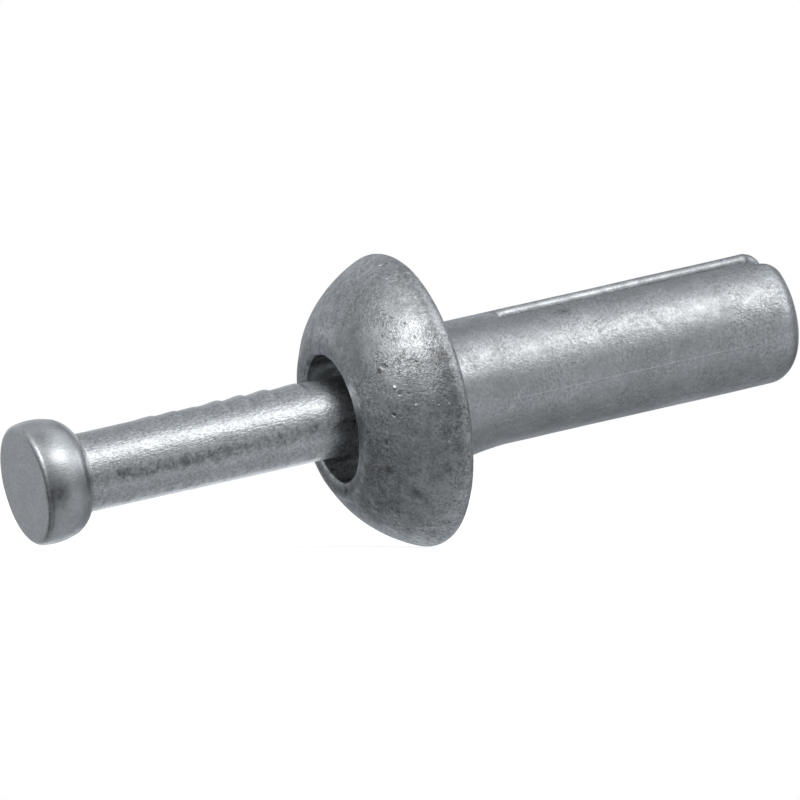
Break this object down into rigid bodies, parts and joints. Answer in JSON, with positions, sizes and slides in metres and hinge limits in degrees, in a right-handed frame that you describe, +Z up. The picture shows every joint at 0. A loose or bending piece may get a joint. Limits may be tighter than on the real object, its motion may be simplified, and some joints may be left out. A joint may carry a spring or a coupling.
{
  "type": "hammer drive anchor",
  "caption": "Mushroom-head hammer drive anchor: a die-cast body with a split sleeve and a round recess in its domed head, and a steel drive nail started in the bore.",
  "frame": {"origin": "middle of the footprint, on the surface that the anchor lies on", "axes": "+Z up; +X along the anchor on the ground, towards the split end; the anchor's own axis lies in the XZ plane and rises 12.04 degrees from +X, because it lies on the rim of the mushroom head and the edge of the nail's head"},
  "size_m": [0.04, 0.0142, 0.0139],
  "materials": {
    "cast_zinc": "as die-cast zinc alloy, satin grey, slightly mottled and pitted",
    "plated_steel": "bright zinc plated, fine grain"
  },
  "bodies": {
    "body": {"anchor_body": "cast_zinc"},
    "nail": {"drive_nail": "plated_steel"}
  },
  "joints": [
    {"name": "nail_drive", "type": "slide", "parent": "body", "child": "nail", "axis": [0.978, 0, 0.2087], "range_m": [0, 0.01625]}
  ]
}
